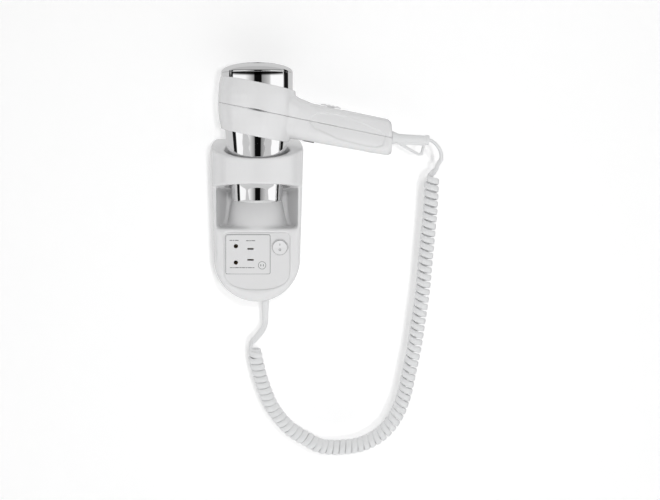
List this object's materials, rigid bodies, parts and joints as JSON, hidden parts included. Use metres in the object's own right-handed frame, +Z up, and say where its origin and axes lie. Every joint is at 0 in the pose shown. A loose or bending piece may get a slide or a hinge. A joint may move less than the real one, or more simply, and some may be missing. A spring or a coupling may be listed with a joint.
{
  "type": "wall mounted hair dryer",
  "caption": "Wall mounted hair dryer: chrome and white dryer hanging in the ring of a holder with a shaver socket, mains rocker and curly cord.",
  "frame": {"origin": "centre of the four wall screws, on the wall plane, half way up the holder", "axes": "+X right seen from the front, +Y into the wall (the front faces -Y), +Z up"},
  "size_m": [0.2726, 0.0976, 0.4644],
  "materials": {
    "white_shell": "satin gloss",
    "white_cable": "soft satin",
    "chrome": "mirror polished plating",
    "satin_silver": "satin",
    "dark_plastic": "matte",
    "steel": "plain",
    "brass": "plain",
    "copper": "enamelled copper",
    "heater_wire": "plain",
    "mica": "pressed mica",
    "board": "lacquered",
    "terminal_plastic": "matte",
    "blue_lead": "matte",
    "red_lead": "matte"
  },
  "bodies": {
    "holder": {"wall_plate": "white_shell", "holder_housing": "white_shell", "front_panel": "white_shell", "socket_plate": "white_shell", "socket_contacts": "brass", "transformer_core": "steel", "transformer_coil": "copper", "mains_switch_body": "white_shell", "terminal_block": "terminal_plastic", "holder_leads": "blue_lead", "housing_screws": "steel", "holder_boot": "white_cable", "cord_upper": "white_cable", "cord_coil": "white_cable", "cord_lower": "white_cable"},
    "rocker": {"mains_rocker": "white_shell"},
    "handset": {"rear_barrel": "chrome", "rear_cap": "chrome", "intake_grille": "satin_silver", "intake_filter": "dark_plastic", "front_barrel": "chrome", "outlet_grille": "dark_plastic", "handle_shell_upper": "white_shell", "handle_shell_lower": "white_shell", "seam_inlay": "satin_silver", "motor_can": "steel", "motor_end_cap": "dark_plastic", "motor_bushes": "brass", "fan_duct": "dark_plastic", "heater_frame": "mica", "heater_coil": "heater_wire", "mica_sleeve": "mica", "thermostat": "steel", "thermal_fuse": "steel", "control_board": "board", "handle_leads": "red_lead", "speed_switch_body": "dark_plastic", "cold_switch_body": "dark_plastic", "cold_button_spring": "steel", "handle_screws": "steel", "cord_clamp": "dark_plastic", "strain_relief": "white_cable"},
    "rotor": {"motor_shaft": "steel", "motor_armature": "copper", "fan_impeller": "dark_plastic"},
    "slider": {"speed_slider": "white_shell"},
    "button": {"cold_button": "satin_silver"}
  },
  "joints": [
    {"name": "handset_lift", "type": "slide", "parent": "holder", "child": "handset", "axis": [0, 0, 1], "range_m": [0, 0.08]},
    {"name": "mains_rocker_tilt", "type": "hinge", "parent": "holder", "child": "rocker", "pos_m": [0.0265, -0.061, -0.03], "axis": [1, 0, 0], "range_deg": [-12, 0]},
    {"name": "speed_slide", "type": "slide", "parent": "handset", "child": "slider", "axis": [0.9799, 0, -0.1994], "range_m": [-0.008, 0]},
    {"name": "cold_button_press", "type": "slide", "parent": "handset", "child": "button", "axis": [0.1994, 0, 0.9799], "range_m": [0, 0.002], "stiffness_N_per_m": 600, "springref_m": -0.002, "deforming": ["cold_button_spring"]},
    {"name": "fan_spin", "type": "hinge", "parent": "handset", "child": "rotor", "pos_m": [0, -0.052, 0.15], "axis": [0, 0, 1], "continuous": true}
  ]
}
